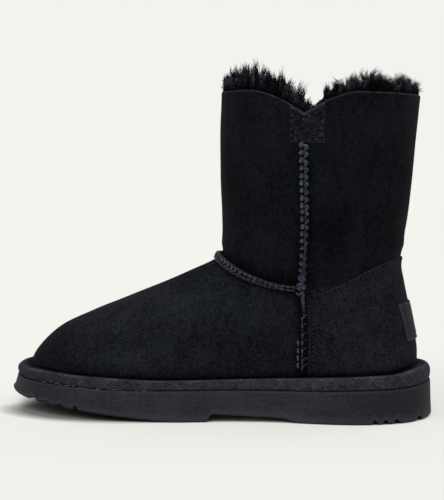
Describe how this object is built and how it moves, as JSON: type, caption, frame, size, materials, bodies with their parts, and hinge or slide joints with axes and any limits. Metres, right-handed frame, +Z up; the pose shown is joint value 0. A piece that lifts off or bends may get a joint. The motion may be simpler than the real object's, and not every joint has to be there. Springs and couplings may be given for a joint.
{
  "type": "ankle boot",
  "caption": "Short pull-on sheepskin boot for the left foot, with a suede shaft, raised side and instep seams, a heel counter, a flat foam sole and wool standing in the notched collar.",
  "frame": {"origin": "the bottom centre of the boot's box, on the floor", "axes": "+X towards the toe, +Y to the outer side of the left foot, +Z up"},
  "size_m": [0.282, 0.1092, 0.2244],
  "materials": {
    "suede": "black suede with a short nap",
    "counter_suede": "black suede with a short nap",
    "edge_suede": "charcoal suede wrapped over the platform edge",
    "outsole_foam": "matte moulded foam",
    "label_rubber": "satin, blank",
    "fleece": "black sheepskin wool",
    "thread": "thick matte thread"
  },
  "bodies": {
    "root": {"outsole": "outsole_foam", "platform": "edge_suede", "insole": "fleece", "upper": "suede", "heel_counter": "counter_suede", "heel_label": "label_rubber", "instep_seam": "thread", "side_seam_outer": "thread", "side_seam_inner": "thread", "notch_patch_outer": "counter_suede", "notch_patch_inner": "counter_suede", "collar_wool": "fleece"}
  },
  "joints": []
}
